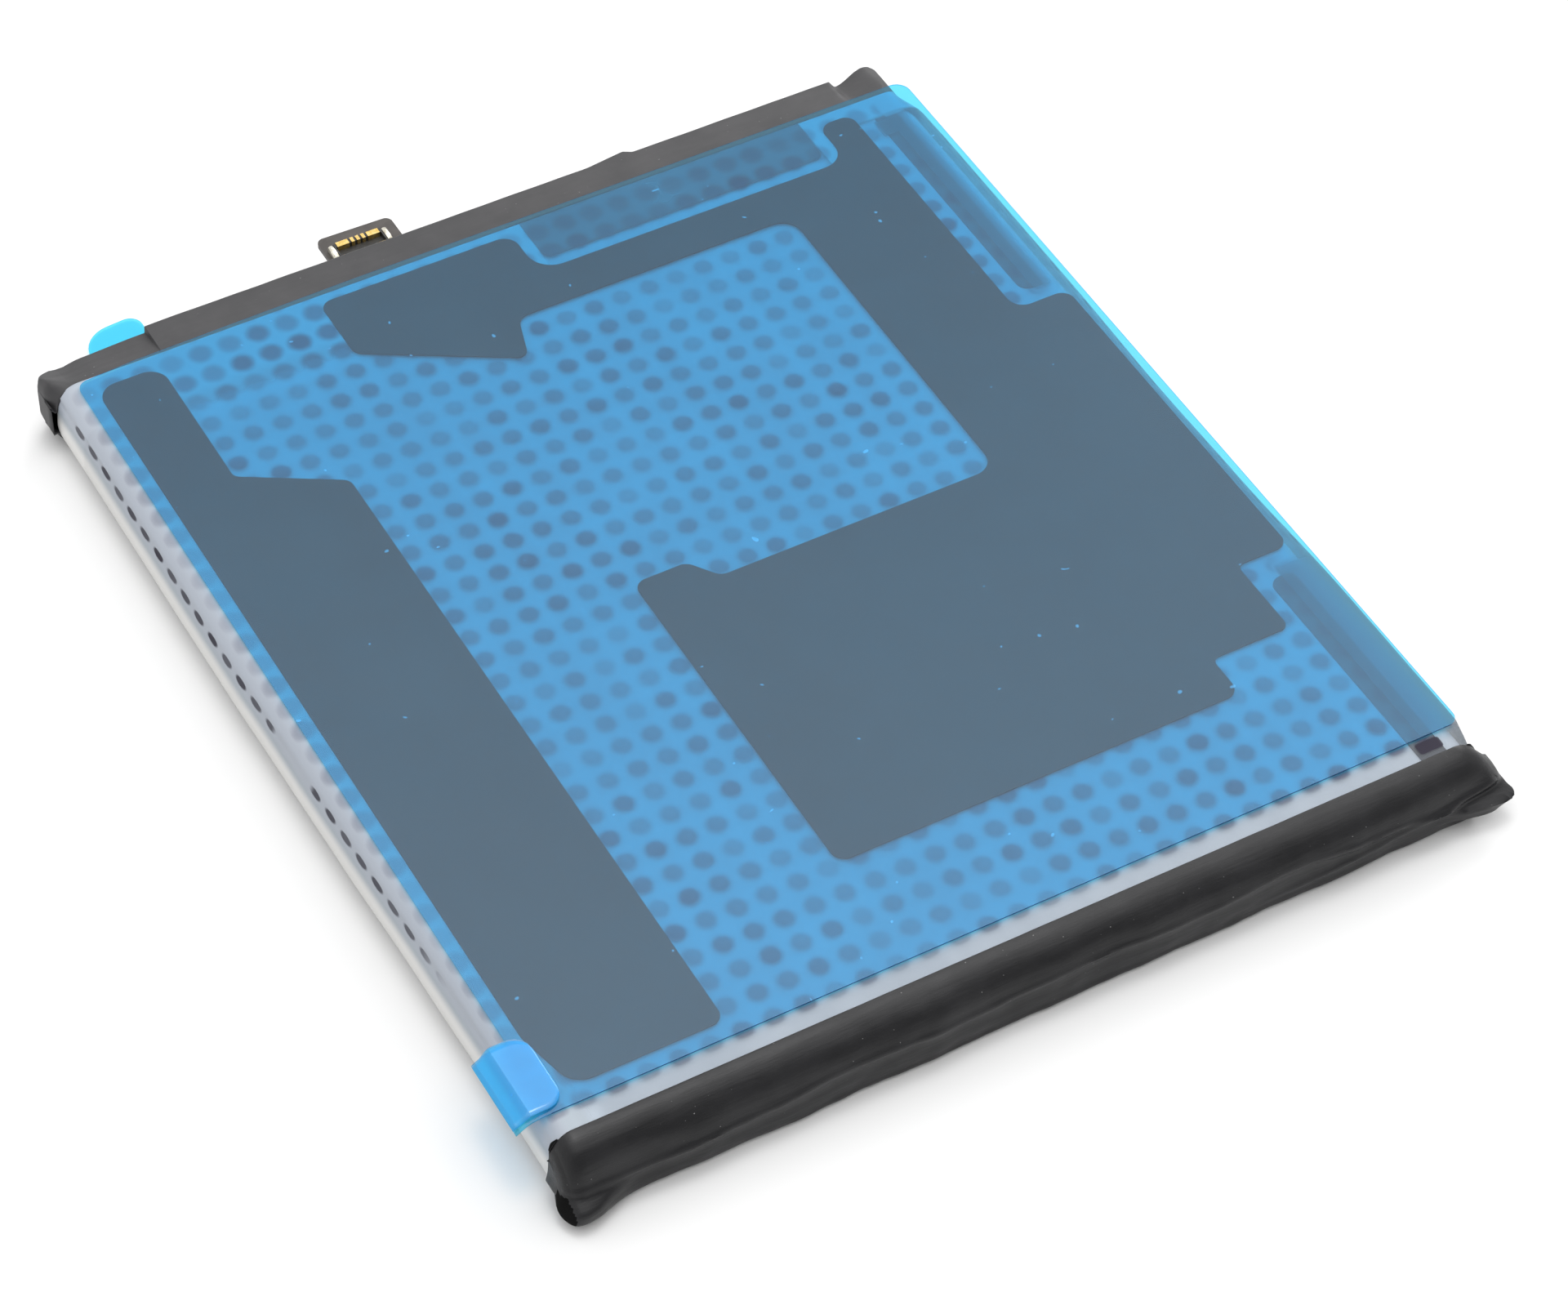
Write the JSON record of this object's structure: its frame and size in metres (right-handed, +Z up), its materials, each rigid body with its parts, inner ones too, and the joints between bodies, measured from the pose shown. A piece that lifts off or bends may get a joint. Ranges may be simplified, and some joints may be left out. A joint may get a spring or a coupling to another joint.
{
  "type": "pouch battery cell",
  "caption": "Flat rectangular lithium pouch cell in a dotted film wrap, with taped ends, blue release liners, pull tabs and a short flexible connector tail.",
  "frame": {"origin": "middle of the underside, where the cell lies on its rear liner", "axes": "X across the width, +Y towards the connector tail, +Z up through the thickness"},
  "size_m": [0.0648, 0.0789, 0.0052],
  "materials": {
    "film": "translucent silver-grey film with a square lattice of dark dots",
    "laminate": "soft aluminium laminate",
    "polymer_seal": "cast polymer weld film",
    "anode": "graphite-coated copper foil",
    "cathode": "oxide-coated aluminium foil",
    "separator": "microporous white film",
    "aluminium_tab": "bright rolled strip",
    "nickel": "bright nickel strip",
    "black_tape": "satin black insulating tape",
    "board": "solder-masked glass-fibre board",
    "chip_black": "moulded black resin",
    "chip_ceramic": "fired ceramic chips",
    "foam": "closed-cell foam",
    "adhesive": "dark acrylic adhesive",
    "blue_liner": "glossy translucent blue film",
    "flex_circuit": "dark coverlay over polyimide",
    "fitting_metal": "tinned bright metal",
    "gold": "gold-plated contacts"
  },
  "bodies": {
    "cell": {"wrap_film": "film", "pouch_upper_shell": "laminate", "pouch_lower_shell": "laminate", "terrace_seal": "polymer_seal", "side_seal_left": "laminate", "side_seal_right": "laminate", "anode_foils": "anode", "cathode_foils": "cathode", "separator_sheets": "separator", "positive_tab": "aluminium_tab", "negative_tab": "nickel", "positive_tab_sealant": "polymer_seal", "negative_tab_sealant": "polymer_seal", "board_insulator": "black_tape", "protection_board": "board", "positive_pad": "nickel", "negative_pad": "nickel", "protection_chip": "chip_black", "switch_pair": "chip_black", "thermal_fuse": "chip_black", "chip_parts": "chip_ceramic", "terrace_spacer": "foam", "head_tape": "black_tape", "near_end_tape": "black_tape", "edge_strip_upper": "black_tape", "edge_strip_lower": "black_tape", "adhesive_strip": "adhesive", "adhesive_panel": "adhesive", "tail_root": "flex_circuit"},
    "front_liner": {"front_liner": "blue_liner"},
    "front_pull_tab": {"front_pull_tab": "blue_liner"},
    "rear_liner": {"rear_liner": "blue_liner"},
    "rear_pull_tab": {"rear_pull_tab": "blue_liner"},
    "tail": {"tail_flex": "flex_circuit", "tail_stiffener": "flex_circuit", "connector_housing": "chip_black", "connector_end_fittings": "fitting_metal", "connector_contacts": "gold"}
  },
  "joints": [
    {"name": "front_liner_peel", "type": "slide", "parent": "cell", "child": "front_liner", "axis": [0, 0, 1], "range_m": [0, 0.03]},
    {"name": "front_tab_unfold", "type": "hinge", "parent": "front_liner", "child": "front_pull_tab", "pos_m": [-0.03185, 0, 0.00442], "axis": [0, -1, 0], "range_deg": [0, 150]},
    {"name": "rear_liner_peel", "type": "slide", "parent": "cell", "child": "rear_liner", "axis": [0, 0, -1], "range_m": [0, 0.02]},
    {"name": "rear_tab_bend", "type": "hinge", "parent": "rear_liner", "child": "rear_pull_tab", "pos_m": [0, 0.0362, 0.00004], "axis": [1, 0, 0], "range_deg": [0, 80]},
    {"name": "tail_bend", "type": "hinge", "parent": "cell", "child": "tail", "pos_m": [0, 0.036, 0.00324], "axis": [1, 0, 0], "range_deg": [-45, 20]}
  ]
}
